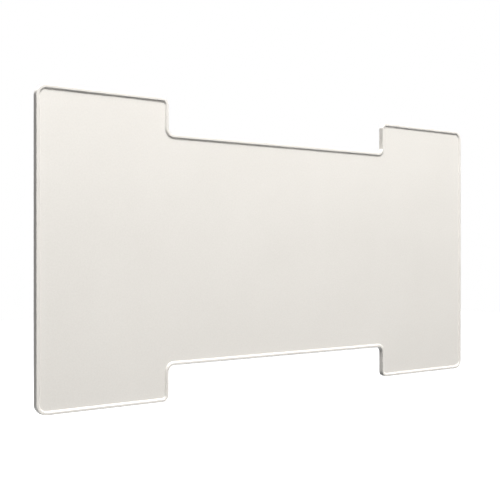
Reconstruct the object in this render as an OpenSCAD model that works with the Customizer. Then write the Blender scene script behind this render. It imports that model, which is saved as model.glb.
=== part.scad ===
// Desk privacy panel: a thin laminated board with a wide notch in its top and
// bottom edges, its whole edge held in the channel of a push-on trim.
// The panel stands in the XZ plane. Its front faces -Y and +X is to the right of
// someone looking at the front. The origin is the centre of the bracket hole
// pattern on the rear face.

/* [Panel] */
// Overall width of the panel
panel_w = 1200; // [960:1:1600]
// Overall height of the panel
panel_h = 610; // [500:1:900]
// Width of the notch in the top edge and in the bottom edge
notch_w = 618; // [300:1:650]
// Depth of each notch
notch_d = 72; // [60:1:120]
// Outer radius of the four wing corners
wing_r = 21; // [16:0.5:40]
// Outer radius where a notch opens through the edge
mouth_r = 14; // [12:0.5:20]
// Outer radius in the inner corners of a notch
notch_r = 13; // [6:0.5:20]

/* [Board] */
// Thickness of the core board
core_t = 5.8; // [4.5:0.1:12]
// Thickness of the laminate on each face
laminate_t = 0.7; // [0.6:0.1:1.2]

/* [Edge trim] */
// Thickness of the trim outside the edge of the board
web_t = 2.5; // [1.5:0.1:3]
// Height of each lip above the face it overlaps
lip_h = 2.4; // [1.5:0.1:3.5]
// Width of the flat band along the outer part of each lip
band_w = 4.9; // [3.5:0.1:6]
// Width of the slope from that band down to the face
slope_w = 3; // [2:0.1:5]
// Radius of the outer edges of the trim
edge_r = 1; // [0.3:0.1:1.2]

/* [Fixing] */
// Distance across between the two pairs of tee nuts
nut_dx = 900; // [700:1:1000]
// Distance up between the two tee nuts of a pair
nut_dz = 32; // [25:1:64]
// Height of the nut pattern's centre above the lowest edge
nut_z = 58; // [50:1:80]
// Tapped bore of a tee nut, the minor diameter of M5
nut_bore = 4.2; // [3.3:0.1:5]

/* [Hidden] */
$fn = 64;
board_t = core_t + 2 * laminate_t;
panel_t = board_t + 2 * lip_h;
// height of the centre of the panel above the origin
centre_z = panel_h / 2 - nut_z;

// trim: reach of a lip over the face, and thickness and width of its thin tip
lip_in = band_w + slope_w - web_t;
tip_t = 0.3;
tip_w = 1.4;
// trim: slack between a lip and the laminate, and the ribs that take it up
slack = 0.3;
rib_w = 0.8;
rib_n = 2;
// how far a rib runs into the lip it stands on
rib_bite = 0.1;
// how far a cutting shape runs past what it cuts
over = 1;

// tee nut: round base under the front laminate, barrel through to the rear face
base_d = 14;
base_t = 1;
barrel_d = 6.4;
prong_n = 3;
prong_l = 3;
prong_w = 1.8;
prong_t = 1;
prong_at = 5.4;

// board-edge radii behind the trim
board_wing_r = wing_r - web_t;
board_mouth_r = mouth_r - web_t;
board_notch_r = notch_r + web_t;
// straight lengths between the turns
side_l = panel_h - 2 * wing_r;
wing_l = (panel_w - notch_w) / 2 - wing_r - mouth_r;
floor_l = notch_w - 2 * notch_r;
// from a turn to the joint halfway up the side of a notch
joint_l = (notch_d - mouth_r - notch_r) / 2;

// Stands the flat layout up: X stays, the layout's Y becomes height and its Z
// becomes the front, with the rear laminate's outer face at y = 0.
module stand() {
    translate([0, -board_t / 2, centre_z]) rotate([90, 0, 0]) children();
}

// Mirrors its children top to bottom where s is -1.
module scale_y(s) {
    mirror([0, s < 0 ? 1 : 0]) children();
}

// Outline of the panel moved inwards by inset, in the flat layout: two wings, a
// band between them and a fillet in each inner corner of the notches.
module outline(inset) {
    gap_w = notch_w + 2 * inset;
    wing_w = (panel_w - notch_w) / 2 - 2 * inset;
    band_h = panel_h - 2 * notch_d - 2 * inset;
    square([gap_w + wing_w, band_h], center = true);
    for (x = [0, 1], y = [0, 1]) mirror([x, 0]) mirror([0, y]) {
        wing_quarter(wing_w, panel_h / 2 - inset, gap_w / 2, wing_r - inset, mouth_r - inset);
        translate([gap_w / 2, band_h / 2]) inner_fillet(notch_r + inset);
    }
}

// Upper half of the wing that starts at x = start, with its outer and inner
// top corners rounded.
module wing_quarter(w, h, start, outer_r, inner_r) translate([start, 0]) {
    translate([inner_r, 0]) square([w - inner_r - outer_r, h]);
    square([w / 2, h - inner_r]);
    translate([w / 2, 0]) square([w / 2, h - outer_r]);
    translate([inner_r, h - inner_r]) circle(inner_r);
    translate([w - outer_r, h - outer_r]) circle(outer_r);
}

// Fills the corner between a wing, at x > 0, and the band, at y < 0.
module inner_fillet(r) difference() {
    translate([-r, -over]) square([r + over, r + over]);
    translate([-r, r]) circle(r);
}

// Section of the trim: x is outwards from the edge of the board and y is across
// its thickness. Each lip has a flat band, then slopes down to a thin tip that
// rests on the laminate.
module trim_section(ribbed) {
    face_y = board_t / 2;
    band_x = web_t - band_w;
    difference() {
        union() {
            translate([0, -panel_t / 2 + edge_r]) square([web_t, panel_t - 2 * edge_r]);
            for (s = [-1, 1]) scale_y(s) {
                translate([web_t - edge_r, panel_t / 2 - edge_r]) circle(edge_r);
                polygon([[web_t - edge_r, 0], [web_t - edge_r, panel_t / 2],
                         [band_x, panel_t / 2], [-lip_in, face_y + tip_t], [-lip_in, 0]]);
            }
        }
        translate([-lip_in - over, -face_y]) square([lip_in + over, board_t]);
        for (s = [-1, 1]) scale_y(s) translate([-lip_in + tip_w, 0])
            square([lip_in - tip_w, face_y + slack]);
    }
    if (ribbed) for (i = [1 : rib_n], s = [-1, 1]) scale_y(s)
        translate([-i * (lip_in - tip_w) / (rib_n + 1), face_y])
            polygon([[0, 0], [rib_w / 2, slack + rib_bite], [-rib_w / 2, slack + rib_bite]]);
}

// One straight length of trim, drawn along +X with the outside at +Y.
module straight(length) {
    rotate([90, 0, 90]) linear_extrude(length) trim_section(true);
}

// Quarter turns about the corner's centre, without ribs so that the strip can
// bend. r is the radius of the board's edge.
module convex_turn(r) {
    rotate_extrude(angle = 90) translate([r, 0]) trim_section(false);
}
module concave_turn(r) {
    rotate_extrude(angle = 90) translate([r, 0]) mirror([1, 0]) trim_section(false);
}

// Follows a list of steps clockwise round the board's edge. A step is
// ["line", length], ["out", radius] for a convex turn or ["in", radius] for a
// concave one.
module follow(steps, at, heading, i = 0) {
    if (i < len(steps)) {
        kind = steps[i][0];
        size = steps[i][1];
        ahead = [cos(heading), sin(heading)];
        left = [-sin(heading), cos(heading)];
        if (kind == "line") {
            translate(at) rotate(heading) straight(size);
            follow(steps, at + size * ahead, heading, i + 1);
        } else if (kind == "out") {
            translate(at - size * left) rotate(heading) convex_turn(size);
            follow(steps, at + size * (ahead - left), heading - 90, i + 1);
        } else {
            translate(at + size * left) rotate(heading - 90) concave_turn(size);
            follow(steps, at + size * (ahead + left), heading + 90, i + 1);
        }
    }
}

// From a joint inside the bottom notch round the left wing to the joint inside
// the top notch.
module wing_strip() {
    follow([["line", joint_l], ["out", board_mouth_r], ["line", wing_l],
            ["out", board_wing_r], ["line", side_l], ["out", board_wing_r],
            ["line", wing_l], ["out", board_mouth_r], ["line", joint_l]],
           [-notch_w / 2 - web_t, -panel_h / 2 + mouth_r + joint_l], -90);
}

// From the joint on the left of the top notch, along the notch's floor and up to
// the joint on its right.
module notch_strip() {
    follow([["line", joint_l], ["in", board_notch_r], ["line", floor_l],
            ["in", board_notch_r], ["line", joint_l]],
           [-notch_w / 2 - web_t, panel_h / 2 - mouth_r - joint_l], -90);
}

// Places its children at the four tee nuts, with their z = 0 on the rear face
// and their +Z pointing out of it.
module at_nuts() {
    for (x = [-1, 1], y = [-1, 1])
        translate([x * nut_dx / 2, y * nut_dz / 2 - centre_z, -board_t / 2])
            rotate([180, 0, 0]) children();
}

// One tee nut without its bore: a barrel, a round base and three prongs.
module nut_body() {
    core_front = -laminate_t - core_t;
    translate([0, 0, core_front]) cylinder(h = core_t + laminate_t, d = barrel_d);
    translate([0, 0, core_front]) cylinder(h = base_t, d = base_d);
    for (i = [0 : prong_n - 1]) rotate(i * 360 / prong_n)
        translate([prong_at - prong_t / 2, -prong_w / 2, core_front])
            cube([prong_t, prong_w, base_t + prong_l]);
}

module core_board() color("burlywood") stand() difference() {
    linear_extrude(core_t, center = true) outline(web_t);
    at_nuts() nut_body();
}

module front_laminate() color("antiquewhite") stand()
    translate([0, 0, core_t / 2]) linear_extrude(laminate_t) outline(web_t);

module rear_laminate() color("antiquewhite") stand() difference() {
    translate([0, 0, -core_t / 2 - laminate_t]) linear_extrude(laminate_t) outline(web_t);
    at_nuts() translate([0, 0, -laminate_t - over])
        cylinder(h = laminate_t + 2 * over, d = barrel_d);
}

module left_edge_trim() color("whitesmoke") stand() wing_strip();
module right_edge_trim() color("whitesmoke") stand() rotate(180) wing_strip();
module top_edge_trim() color("whitesmoke") stand() notch_strip();
module bottom_edge_trim() color("whitesmoke") stand() rotate(180) notch_strip();

module tee_nuts() color("silver") stand() at_nuts() difference() {
    nut_body();
    translate([0, 0, -board_t]) cylinder(h = board_t + over, d = nut_bore);
}

core_board();
front_laminate();
rear_laminate();
left_edge_trim();
right_edge_trim();
top_edge_trim();
bottom_edge_trim();
tee_nuts();
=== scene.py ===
import math

import bpy
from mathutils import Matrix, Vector


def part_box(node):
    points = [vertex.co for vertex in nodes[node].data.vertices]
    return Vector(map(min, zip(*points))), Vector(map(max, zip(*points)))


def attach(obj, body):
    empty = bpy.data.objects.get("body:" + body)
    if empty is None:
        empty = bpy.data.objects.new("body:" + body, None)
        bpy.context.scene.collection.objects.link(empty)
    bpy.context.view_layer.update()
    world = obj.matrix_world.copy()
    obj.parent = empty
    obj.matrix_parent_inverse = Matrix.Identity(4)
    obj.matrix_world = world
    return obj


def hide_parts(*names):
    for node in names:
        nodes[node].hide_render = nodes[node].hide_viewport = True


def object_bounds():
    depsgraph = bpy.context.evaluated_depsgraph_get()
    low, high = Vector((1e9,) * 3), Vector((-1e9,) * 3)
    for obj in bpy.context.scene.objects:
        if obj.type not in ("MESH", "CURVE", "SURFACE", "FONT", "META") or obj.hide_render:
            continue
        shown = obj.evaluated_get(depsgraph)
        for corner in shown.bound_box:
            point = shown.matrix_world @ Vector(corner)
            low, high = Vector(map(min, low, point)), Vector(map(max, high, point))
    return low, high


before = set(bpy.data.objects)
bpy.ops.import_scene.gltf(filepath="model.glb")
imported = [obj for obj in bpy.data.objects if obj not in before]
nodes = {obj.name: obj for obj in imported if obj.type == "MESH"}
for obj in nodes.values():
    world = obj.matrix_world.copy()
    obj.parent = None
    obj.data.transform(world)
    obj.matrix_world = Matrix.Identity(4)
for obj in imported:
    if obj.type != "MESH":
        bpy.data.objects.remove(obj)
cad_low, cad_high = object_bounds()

MM = 0.001

# ------------------------------------------------------- sizes, read off the CAD
core_low, core_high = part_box("core_board")
front_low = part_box("front_laminate")[0]
rear_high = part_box("rear_laminate")[1]
panel_mid = Vector([(a + b) / 2 for a, b in zip(cad_low, cad_high)])
half_w = (cad_high[0] - cad_low[0]) / 2
half_h = (cad_high[2] - cad_low[2]) / 2
half_t = (cad_high[1] - cad_low[1]) / 2
half_board = (rear_high[1] - front_low[1]) / 2
web_t = cad_high[0] - core_high[0]

# -------------------------------------------- sizes repeated from the CAD's source
NOTCH_W = 618 * MM
NOTCH_D = 72 * MM
WING_R = 21 * MM
MOUTH_R = 14 * MM
NOTCH_R = 13 * MM
BAND_W = 4.9 * MM
SLOPE_W = 3 * MM
EDGE_R = 1 * MM
TIP_T = 0.3 * MM
TIP_W = 1.4 * MM
SLACK = 0.3 * MM
NUT_DX = 900 * MM
NUT_DZ = 32 * MM
BARREL_R = 3.2 * MM
BASE_R = 7 * MM
BASE_T = 1 * MM

# ------------------------------------------------------------------- the camera
CAMERA_YAW = math.radians(38.7)     # to the left of the panel's front
CAMERA_DISTANCE = 2.12              # from the point it looks at
CAMERA_AIM_X = -0.095               # that point, along the panel
SENSOR_WIDTH = 36.0
CAMERA_LENS = 70.9

# ------------------------------------------------------------------- the studio
FLOOR_DROP = 0.75                   # the panel hangs at desk height
FLOOR_HALF = 12                     # half the floor's width
FAR_CLIP = 50
WHITE = (1, 1, 1, 1)
FLOOR_GREY = 0.9
FLOOR_ROUGHNESS = 0.9
LAMP_DISTANCE = 4.5
LAMP_SIZE = 1.9
# name: azimuth and elevation in degrees, power in watts
LAMPS = {
    "key_left": (-25, 60, 246),
    "key_right": (25, 60, 168),
    "low_fill": (25, -15, 33),
    "rear_left": (-172, 45, 145),
    "rear_right": (172, 45, 145),
}


def add_object(name, mesh):
    """A new object in the scene holding that mesh."""
    piece = bpy.data.objects.new(name, mesh)
    bpy.context.scene.collection.objects.link(piece)
    return piece


def add_camera():
    """A level camera, to the left of the panel's front."""
    data = bpy.data.cameras.new("camera")
    data.sensor_width = SENSOR_WIDTH
    data.lens = CAMERA_LENS
    data.clip_end = FAR_CLIP
    camera = add_object("camera", data)
    ahead = Vector((math.sin(CAMERA_YAW), math.cos(CAMERA_YAW), 0))
    aim = Vector((CAMERA_AIM_X, panel_mid.y, panel_mid.z))
    camera.location = aim - CAMERA_DISTANCE * ahead
    camera.rotation_euler = ahead.to_track_quat("-Z", "Y").to_euler()
    bpy.context.scene.camera = camera


def add_area_light(name, azimuth, elevation, power):
    """A square soft light aimed at the panel. Azimuth 0 is in front, 90 to the right."""
    data = bpy.data.lights.new(name, "AREA")
    data.shape = "SQUARE"
    data.size = LAMP_SIZE
    data.energy = power
    light = add_object(name, data)
    a, e = math.radians(azimuth), math.radians(elevation)
    outward = Vector((math.sin(a) * math.cos(e), -math.cos(a) * math.cos(e), math.sin(e)))
    light.location = panel_mid + LAMP_DISTANCE * outward
    light.rotation_euler = outward.to_track_quat("Z", "Y").to_euler()


def add_world():
    """White all round for the camera and for reflections, without lighting the panel."""
    world = bpy.data.worlds.new("studio")
    world.use_nodes = True
    background = world.node_tree.nodes["Background"]
    background.inputs["Color"].default_value = WHITE
    background.inputs["Strength"].default_value = 1.0
    world.cycles_visibility.diffuse = False
    bpy.context.scene.world = world


def add_floor():
    """A white floor that glows for the camera, without lighting the panel from below."""
    z = cad_low[2] - FLOOR_DROP
    h = FLOOR_HALF
    mesh = bpy.data.meshes.new("floor")
    mesh.from_pydata([(-h, -h, z), (h, -h, z), (h, h, z), (-h, h, z)], [], [(0, 1, 2, 3)])
    floor = add_object("floor", mesh)
    material = bpy.data.materials.new("floor_paint")
    material.use_nodes = True
    shader = material.node_tree.nodes["Principled BSDF"]
    shader.inputs["Base Color"].default_value = (FLOOR_GREY, FLOOR_GREY, FLOOR_GREY, 1)
    shader.inputs["Roughness"].default_value = FLOOR_ROUGHNESS
    shader.inputs["Emission Color"].default_value = WHITE
    shader.inputs["Emission Strength"].default_value = 1.0
    mesh.materials.append(material)
    floor.visible_diffuse = False


# -------------------------------------------------------------------- materials
class Paint:
    """A procedural material, put together from noise layers on one Principled shader."""

    def __init__(self, name, coords="Object"):
        self.material = bpy.data.materials.new(name)
        self.material.use_nodes = True
        self.tree = self.material.node_tree
        self.shader = self.tree.nodes["Principled BSDF"]
        self.coords = self.tree.nodes.new("ShaderNodeTexCoord").outputs[coords]

    def noise(self, scale, detail, stretch=(1, 1, 1)):
        """Noise from 0 to 1. scale is about how many features there are in a metre."""
        mapping = self.tree.nodes.new("ShaderNodeMapping")
        mapping.inputs["Scale"].default_value = stretch
        self.tree.links.new(self.coords, mapping.inputs["Vector"])
        noise = self.tree.nodes.new("ShaderNodeTexNoise")
        noise.inputs["Scale"].default_value = scale
        noise.inputs["Detail"].default_value = detail
        self.tree.links.new(mapping.outputs["Vector"], noise.inputs["Vector"])
        return noise.outputs["Fac"]

    def between(self, value, low, high, start=0.3, end=0.7):
        """Turns start..end of a value into low..high. Noise is mostly from 0.3 to 0.7."""
        spread = self.tree.nodes.new("ShaderNodeMapRange")
        spread.inputs["From Min"].default_value = start
        spread.inputs["From Max"].default_value = end
        spread.inputs["To Min"].default_value = low
        spread.inputs["To Max"].default_value = high
        self.tree.links.new(value, spread.inputs["Value"])
        return spread.outputs["Result"]

    def join(self, a, b):
        """The sum of two values."""
        node = self.tree.nodes.new("ShaderNodeMath")
        node.operation = "ADD"
        self.tree.links.new(a, node.inputs[0])
        self.tree.links.new(b, node.inputs[1])
        return node.outputs["Value"]

    def colour(self, first, second, value):
        """Blends from the first colour to the second as the value goes from 0 to 1."""
        mix = self.tree.nodes.new("ShaderNodeMix")
        mix.data_type = "RGBA"
        mix.inputs["A"].default_value = (*first, 1)
        mix.inputs["B"].default_value = (*second, 1)
        self.tree.links.new(value, mix.inputs["Factor"])
        self.tree.links.new(mix.outputs["Result"], self.shader.inputs["Base Color"])

    def rough(self, value):
        self.tree.links.new(value, self.shader.inputs["Roughness"])

    def bump(self, value, depth):
        node = self.tree.nodes.new("ShaderNodeBump")
        node.inputs["Strength"].default_value = 1.0
        node.inputs["Distance"].default_value = depth
        self.tree.links.new(value, node.inputs["Height"])
        self.tree.links.new(node.outputs["Normal"], self.shader.inputs["Normal"])

    def edge_highlight_mask(self, start, end):
        """0 on flats, up to 1 on sharp outer edges: the mask for a painted highlight along those
        edges.
        """
        geometry = self.tree.nodes.new("ShaderNodeNewGeometry")
        return self.between(geometry.outputs["Pointiness"], 0, 1, start, end)


# each material's two colours, and the depth of its surface relief
LAMINATE_DARK = (0.772, 0.742, 0.692)
LAMINATE_LIGHT = (0.826, 0.796, 0.746)
LAMINATE_RELIEF = 0.05 * MM
TRIM_DARK = (0.78, 0.75, 0.70)
TRIM_LIGHT = (0.83, 0.80, 0.75)
TRIM_RELIEF = 0.006 * MM
FIBRE_DARK = (0.36, 0.24, 0.14)
FIBRE_LIGHT = (0.55, 0.40, 0.25)
FIBRE_RELIEF = 0.1 * MM
ZINC_DARK = (0.52, 0.52, 0.50)
ZINC_LIGHT = (0.70, 0.70, 0.68)
ZINC_RELIEF = 0.01 * MM


def laminate_paint():
    paint = Paint("fine_matt_laminate")
    grain = paint.noise(scale=1500, detail=2)
    mottle = paint.noise(scale=300, detail=4)
    cloud = paint.noise(scale=6, detail=3)
    tone = paint.join(paint.between(mottle, 0, 0.6), paint.between(cloud, 0, 0.4))
    paint.colour(LAMINATE_DARK, LAMINATE_LIGHT, tone)
    paint.rough(paint.join(paint.between(grain, 0.48, 0.56), paint.between(cloud, 0, 0.06)))
    paint.bump(paint.join(paint.between(grain, 0, 0.6), paint.between(mottle, 0, 0.4)),
               LAMINATE_RELIEF)
    return paint.material


def trim_paint():
    paint = Paint("satin_extruded_pvc", "UV")
    lines = paint.noise(scale=900, detail=2, stretch=(0.004, 1, 1))
    scuffs = paint.noise(scale=120, detail=4, stretch=(0.25, 1, 1))
    # painted highlight: the trim's colour is lighter on its sharp outer edges, the crest and the
    # outer rounding, where light catches them
    painted_highlight = paint.edge_highlight_mask(start=0.52, end=0.6)
    tone = paint.join(paint.between(scuffs, 0, 0.7), paint.between(painted_highlight, 0, 0.3, start=0, end=1))
    paint.colour(TRIM_DARK, TRIM_LIGHT, tone)
    paint.rough(paint.join(paint.between(scuffs, 0.27, 0.35), paint.between(lines, 0, 0.04)))
    paint.bump(lines, TRIM_RELIEF)
    return paint.material


def fibreboard_paint():
    paint = Paint("raw_fibreboard")
    fibre = paint.noise(scale=900, detail=6, stretch=(1, 3, 1))
    paint.colour(FIBRE_DARK, FIBRE_LIGHT, paint.between(fibre, 0, 1))
    paint.rough(paint.between(fibre, 0.8, 0.95))
    paint.bump(fibre, FIBRE_RELIEF)
    return paint.material


def zinc_paint():
    paint = Paint("zinc_plated_steel")
    paint.shader.inputs["Metallic"].default_value = 1.0
    spangle = paint.noise(scale=1800, detail=4)
    turning = paint.noise(scale=2500, detail=2, stretch=(0.2, 1, 0.2))
    # painted highlight: the nut's colour is lighter on its sharp outer edges, so they reflect
    # brighter where light catches them
    painted_highlight = paint.edge_highlight_mask(start=0.52, end=0.62)
    tone = paint.join(paint.between(spangle, 0, 0.7), paint.between(painted_highlight, 0, 0.3, start=0, end=1))
    paint.colour(ZINC_DARK, ZINC_LIGHT, tone)
    paint.rough(paint.between(spangle, 0.22, 0.4))
    paint.bump(turning, ZINC_RELIEF)
    return paint.material


# ------------------------------------------------------------------ trim section
CORNER_STEPS = 8            # flats round one corner of the section


def rounded(corners):
    """Closed outline through (x, y, radius) corners, each rounded by its radius."""
    out = []
    count = len(corners)
    for i, (x, y, radius) in enumerate(corners):
        here = Vector((x, y))
        if radius == 0:
            out.append(here)
            continue
        back = (Vector(corners[i - 1][:2]) - here).normalized()
        ahead = (Vector(corners[(i + 1) % count][:2]) - here).normalized()
        half_angle = back.angle(ahead) / 2
        reach = radius / math.tan(half_angle)
        centre = here + (back + ahead).normalized() * radius / math.sin(half_angle)
        start = here + back * reach - centre
        end = here + ahead * reach - centre
        turn = start.angle_signed(end)
        for k in range(CORNER_STEPS + 1):
            a = -turn * k / CORNER_STEPS
            spun = Vector((start.x * math.cos(a) - start.y * math.sin(a),
                           start.x * math.sin(a) + start.y * math.cos(a)))
            out.append(centre + spun)
    return out


CREST_R = 0.6 * MM          # softens the top of the slope
TIP_R = 0.12 * MM           # softens the thin tip of a lip


def trim_section():
    """Outline of the trim: x outwards from the board's edge, y towards the front."""
    tip_x = -(BAND_W + SLOPE_W - web_t)
    band_x = web_t - BAND_W
    front = [(tip_x, half_board, 0), (tip_x, half_board + TIP_T, TIP_R),
             (band_x, half_t, CREST_R), (web_t, half_t, EDGE_R)]
    rear = [(x, -y, r) for x, y, r in reversed(front)]
    foot_x = tip_x + TIP_W
    channel = [(foot_x, -half_board), (foot_x, -half_board - SLACK), (0, -half_board - SLACK)]
    inside = [(x, y, 0) for x, y in channel]
    inside += [(x, -y, 0) for x, y in reversed(channel)]
    return rounded(front + rear + inside)


def shrunk(section, amount):
    """The outline moved inwards by that much, for the broken edge at a cut end."""
    out = []
    count = len(section)
    for i, point in enumerate(section):
        along = section[(i + 1) % count] - section[i - 1]
        inward = Vector((along.y, -along.x)).normalized()
        out.append(point + amount * inward)
    return out


# --------------------------------------------------------------------- trim path
TURN_STEPS = 28             # stretches in a quarter turn of the path
LINE_STEP = 0.02            # longest stretch of straight trim, about, between stations
QUARTER = math.radians(90)


def trim_path(steps, at, heading):
    """Stations (place, outward direction, length so far) along the board's edge."""
    stations = []
    at = Vector(at)
    run = 0.0
    for kind, size in steps:
        ahead = Vector((math.cos(heading), math.sin(heading)))
        left = Vector((-ahead.y, ahead.x))
        if kind == "line":
            count = max(1, round(size / LINE_STEP))
            for k in range(count + 1):
                stations.append((at + ahead * size * k / count, left, run + size * k / count))
            at = at + ahead * size
            run += size
            continue
        sign = 1 if kind == "out" else -1
        centre = at - sign * size * left
        for k in range(1, TURN_STEPS):
            turn = QUARTER * k / TURN_STEPS
            angle = heading - sign * turn
            normal = Vector((-math.sin(angle), math.cos(angle)))
            stations.append((centre + sign * size * normal, normal, run + size * turn))
        at = centre + size * ahead
        run += size * QUARTER
        heading -= sign * QUARTER
    return stations


JOINT_GAP = 0.12 * MM       # half of the hairline between two cut ends
BROKEN = 0.18 * MM          # edge broken at a cut end


def with_cut_ends(stations, section):
    """Pairs (station, section) with both ends cut back and their edges broken."""
    rings = [(s, section) for s in stations]
    small = shrunk(section, BROKEN)
    for end, other in ((0, 1), (-1, -2)):
        (at, normal, run), _ = rings[end]
        inwards = (rings[other][0][0] - at).normalized()
        full = (at + inwards * (JOINT_GAP + BROKEN), normal, run)
        cut = (at + inwards * JOINT_GAP, normal, run)
        rings[end] = (full, section)
        if end == 0:
            rings.insert(0, (cut, small))
        else:
            rings.append((cut, small))
    return rings


SMOOTH_BELOW = math.radians(32)


def finish_mesh(mesh):
    """Checks the mesh and shades it smooth, but for edges sharper than SMOOTH_BELOW."""
    mesh.validate()
    mesh.update()
    for polygon in mesh.polygons:
        polygon.use_smooth = True
    mesh.set_sharp_from_angle(angle=SMOOTH_BELOW)


def sweep(name, stations, flip):
    """The trim's section carried along the path. flip -1 gives it half a turn about Y."""
    section = trim_section()
    around = [0.0]
    for a, b in zip(section, section[1:] + section[:1]):
        around.append(around[-1] + (b - a).length)
    rings = with_cut_ends(stations, section)
    points = []
    for (at, normal, _), outline in rings:
        for p in outline:
            x = at.x + normal.x * p.x
            z = at.y + normal.y * p.x
            points.append((flip * x, panel_mid.y - p.y, panel_mid.z + flip * z))
    count = len(section)
    faces = []
    uvs = []
    for i in range(len(rings) - 1):
        u0, u1 = rings[i][0][2], rings[i + 1][0][2]
        for k in range(count):
            n = (k + 1) % count
            faces.append((i * count + k, i * count + n, (i + 1) * count + n, (i + 1) * count + k))
            uvs += [(u0, around[k]), (u0, around[k + 1]), (u1, around[k + 1]), (u1, around[k])]
    last = (len(rings) - 1) * count
    faces.append(tuple(range(count - 1, -1, -1)))
    faces.append(tuple(range(last, last + count)))
    uvs += [tuple(section[k]) for k in range(count - 1, -1, -1)]
    uvs += [tuple(p) for p in section]
    mesh = bpy.data.meshes.new(name)
    mesh.from_pydata(points, [], faces)
    layer = mesh.uv_layers.new(name="length")
    for loop, uv in zip(layer.data, uvs):
        loop.uv = uv
    mesh.flip_normals()
    finish_mesh(mesh)
    return add_object(name, mesh)


def wing_path():
    """Round the left wing, from the bottom notch's side to the top notch's."""
    wing_l = half_w - NOTCH_W / 2 - WING_R - MOUTH_R
    joint_l = (NOTCH_D - MOUTH_R - NOTCH_R) / 2
    steps = [("line", joint_l), ("out", MOUTH_R - web_t), ("line", wing_l),
             ("out", WING_R - web_t), ("line", 2 * (half_h - WING_R)), ("out", WING_R - web_t),
             ("line", wing_l), ("out", MOUTH_R - web_t), ("line", joint_l)]
    start = (-NOTCH_W / 2 - web_t, -half_h + MOUTH_R + joint_l)
    return trim_path(steps, start, -QUARTER)


def notch_path():
    """Along the top notch, from one side to the other."""
    joint_l = (NOTCH_D - MOUTH_R - NOTCH_R) / 2
    steps = [("line", joint_l), ("in", NOTCH_R + web_t), ("line", NOTCH_W - 2 * NOTCH_R),
             ("in", NOTCH_R + web_t), ("line", joint_l)]
    start = (-NOTCH_W / 2 - web_t, half_h - MOUTH_R - joint_l)
    return trim_path(steps, start, -QUARTER)


# ---------------------------------------------------------------------- tee nuts
ROUND_STEPS = 48
PITCH = 0.8 * MM
MINOR_R = 2.1 * MM
MAJOR_R = 2.5 * MM
THREAD_STEPS = 10           # rings in one pitch
CHAMFER = 0.3 * MM
FLANK = 1.15                # how quickly a thread flank leaves its root
MOUTH = 0.1 * MM            # how much wider than the thread the bore's mouth is
PRONG_TIP = 0.25            # width of a prong's tip, as a part of its foot
PRONGS = 3
PRONG_L = 3 * MM
PRONG_W = 1.8 * MM
PRONG_T = 1 * MM
PRONG_AT = 5.4 * MM


def bore_radius(y, angle):
    """Radius of the threaded bore at that depth and angle."""
    phase = (y / PITCH - angle / math.tau) % 1.0
    return MINOR_R + (MAJOR_R - MINOR_R) * max(0.0, 1.0 - abs(2 * phase - 1) * FLANK)


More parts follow.
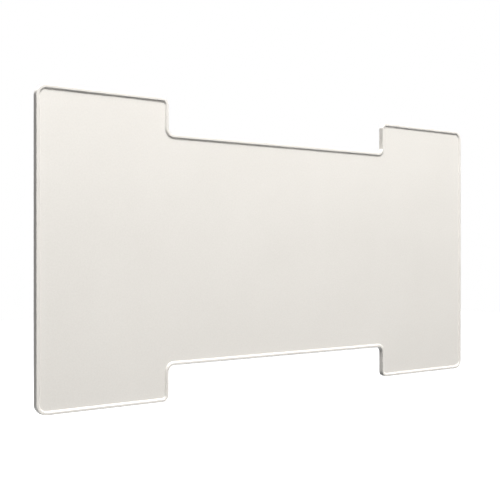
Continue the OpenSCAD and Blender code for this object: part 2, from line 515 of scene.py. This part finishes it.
def nut_mesh(name, x, z):
    """One tee nut, barrel flush with the rear face, base under the front laminate."""
    base_y = core_low[1]
    end_y = rear_high[1]
    profile = [(MINOR_R, base_y), (BASE_R - CHAMFER, base_y), (BASE_R, base_y + CHAMFER),
               (BASE_R, base_y + BASE_T - CHAMFER), (BASE_R - CHAMFER, base_y + BASE_T),
               (BARREL_R + CHAMFER, base_y + BASE_T), (BARREL_R, base_y + BASE_T + CHAMFER),
               (BARREL_R, end_y - CHAMFER), (BARREL_R - CHAMFER, end_y),
               (MAJOR_R + MOUTH, end_y)]
    rings = [[(r, y)] * ROUND_STEPS for r, y in profile]
    count = round((end_y - base_y) / PITCH * THREAD_STEPS)
    for k in range(1, count):
        y = end_y - (end_y - base_y) * k / count
        lead = min(1.0, (end_y - y) / CHAMFER)
        ring = []
        for j in range(ROUND_STEPS):
            r = bore_radius(y, math.tau * j / ROUND_STEPS)
            ring.append((MAJOR_R + (r - MAJOR_R) * lead, y))
        rings.append(ring)
    points = []
    for ring in rings:
        for j, (r, y) in enumerate(ring):
            a = math.tau * j / ROUND_STEPS
            points.append((x + r * math.cos(a), y, z + r * math.sin(a)))
    faces = []
    for i in range(len(rings)):
        a, b = i * ROUND_STEPS, (i + 1) % len(rings) * ROUND_STEPS
        for j in range(ROUND_STEPS):
            n = (j + 1) % ROUND_STEPS
            faces.append((a + j, b + j, b + n, a + n))
    for i in range(PRONGS):
        a = math.tau * i / PRONGS
        across = Vector((math.cos(a), 0, math.sin(a)))
        along = Vector((-math.sin(a), 0, math.cos(a)))
        first = len(points)
        for y, taper in ((base_y + BASE_T / 2, 1.0), (base_y + BASE_T + PRONG_L, PRONG_TIP)):
            for s, t in ((-1, -1), (1, -1), (1, 1), (-1, 1)):
                at = across * (PRONG_AT + s * PRONG_T / 2) + along * (t * taper * PRONG_W / 2)
                points.append((x + at.x, y, z + at.z))
        for quad in ((0, 1, 2, 3), (7, 6, 5, 4), (0, 4, 5, 1), (1, 5, 6, 2), (2, 6, 7, 3),
                     (3, 7, 4, 0)):
            faces.append(tuple(first + k for k in quad))
    mesh = bpy.data.meshes.new(name)
    mesh.from_pydata(points, [], faces)
    finish_mesh(mesh)
    return add_object(name, mesh)


# --------------------------------------------------------------- the panel itself
laminate = laminate_paint()
trim = trim_paint()
fibreboard = fibreboard_paint()
zinc = zinc_paint()


def dress(piece, material):
    """Gives the piece its one material, in its one slot."""
    piece.data.materials.clear()
    piece.data.materials.append(material)


dress(nodes["core_board"], fibreboard)
dress(nodes["front_laminate"], laminate)
dress(nodes["rear_laminate"], laminate)

for node, path, flip in (("left_edge_trim", wing_path(), 1), ("right_edge_trim", wing_path(), -1),
                         ("top_edge_trim", notch_path(), 1),
                         ("bottom_edge_trim", notch_path(), -1)):
    piece = sweep(node + "_fine", path, flip)
    dress(piece, trim)
    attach(piece, "root")
    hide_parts(node)

for side, x in (("left", -NUT_DX / 2), ("right", NUT_DX / 2)):
    for level, z in (("lower", -NUT_DZ / 2), ("upper", NUT_DZ / 2)):
        nut = nut_mesh(side + "_" + level + "_tee_nut", x, z)
        dress(nut, zinc)
        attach(nut, "root")
        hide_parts("tee_nuts")

add_camera()
add_world()
add_floor()
for name, (azimuth, elevation, power) in LAMPS.items():
    add_area_light(name, azimuth, elevation, power)
bpy.context.scene.view_settings.view_transform = "Standard"
